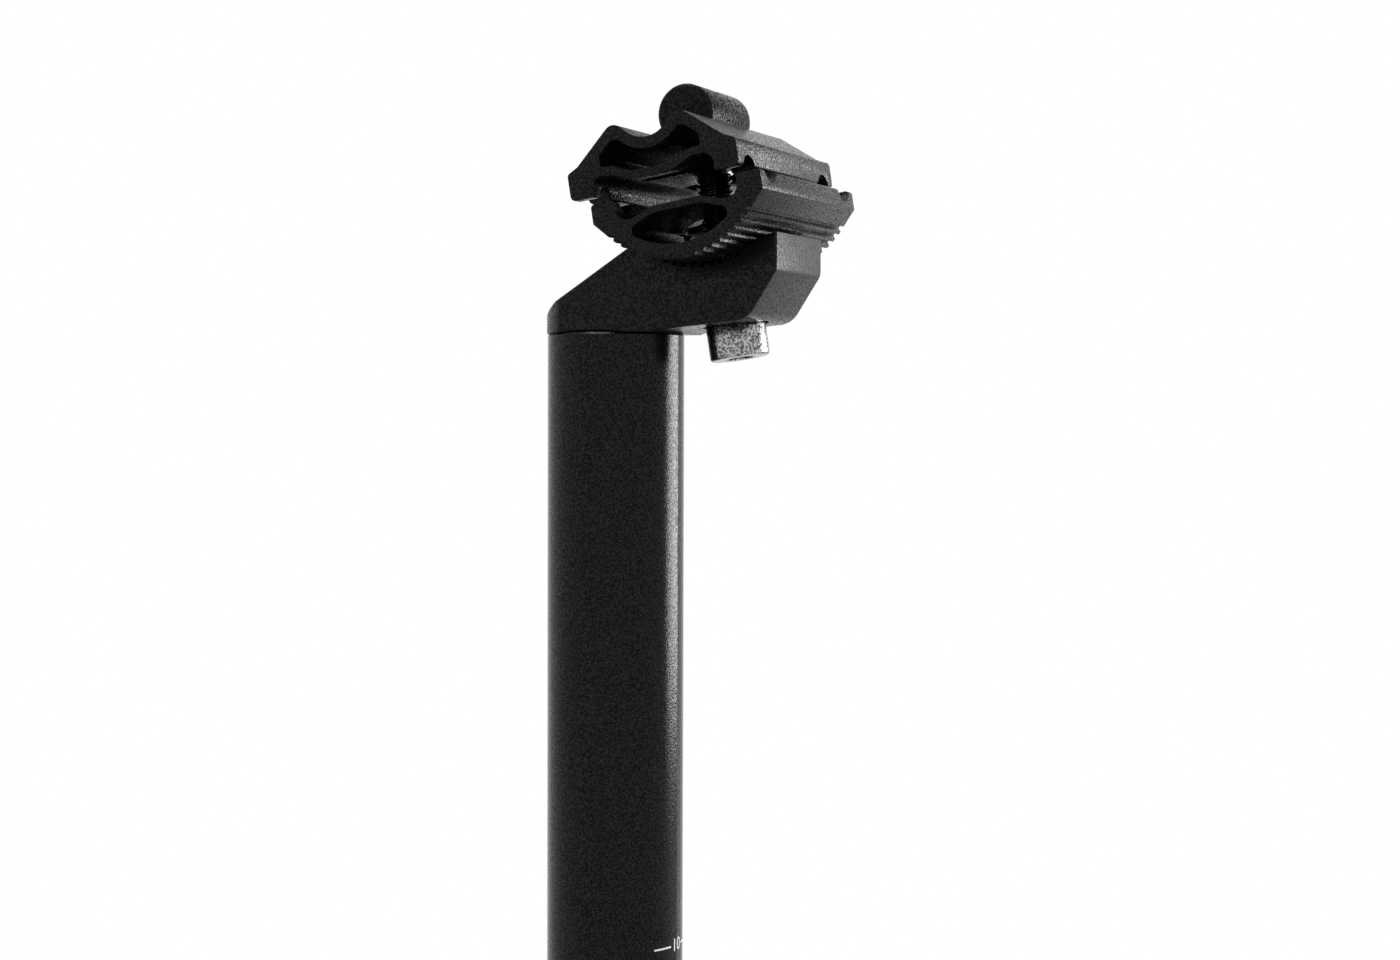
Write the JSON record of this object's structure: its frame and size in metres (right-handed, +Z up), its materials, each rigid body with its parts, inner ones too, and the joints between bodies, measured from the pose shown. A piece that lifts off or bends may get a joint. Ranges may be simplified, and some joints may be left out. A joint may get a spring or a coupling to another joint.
{
  "type": "bicycle seatpost",
  "caption": "Black alloy seatpost: round tube with a layback head, a toothed tilting cradle and a top clamp that hold two saddle rails with a bolt and a cross nut.",
  "frame": {"origin": "on the tube's axis at its open lower end", "axes": "+Z up the tube, +X towards the rear wheel, the way the head leans, +Y across the bicycle along the nut"},
  "size_m": [0.0627, 0.0558, 0.367],
  "materials": {
    "tube": "black anodised, fine bead blast",
    "head": "black anodised, bead blast",
    "clamp": "black anodised, bead blast",
    "nut_steel": "dark, coarse bead blast",
    "bolt_steel": "bright, smooth"
  },
  "bodies": {
    "post": {"post_tube": "tube", "post_head": "head"},
    "clamp": {"lower_cradle": "clamp", "upper_clamp": "clamp"},
    "bolt_set": {"clamp_bolt": "bolt_steel", "barrel_nut": "nut_steel", "bolt_washer": "bolt_steel"}
  },
  "joints": [
    {"name": "saddle_tilt", "type": "hinge", "parent": "post", "child": "clamp", "pos_m": [0.0256, 0, 0.3501], "axis": [0, 1, 0], "range_deg": [-12, 12]},
    {"name": "nut_rock", "type": "hinge", "parent": "clamp", "child": "bolt_set", "pos_m": [0.02175, 0, 0.36051], "axis": [0, 1, 0], "range_deg": [-9, 9]}
  ],
  "couplings": [
    {"joint": "nut_rock", "follows": "saddle_tilt", "ratio": -0.75}
  ]
}
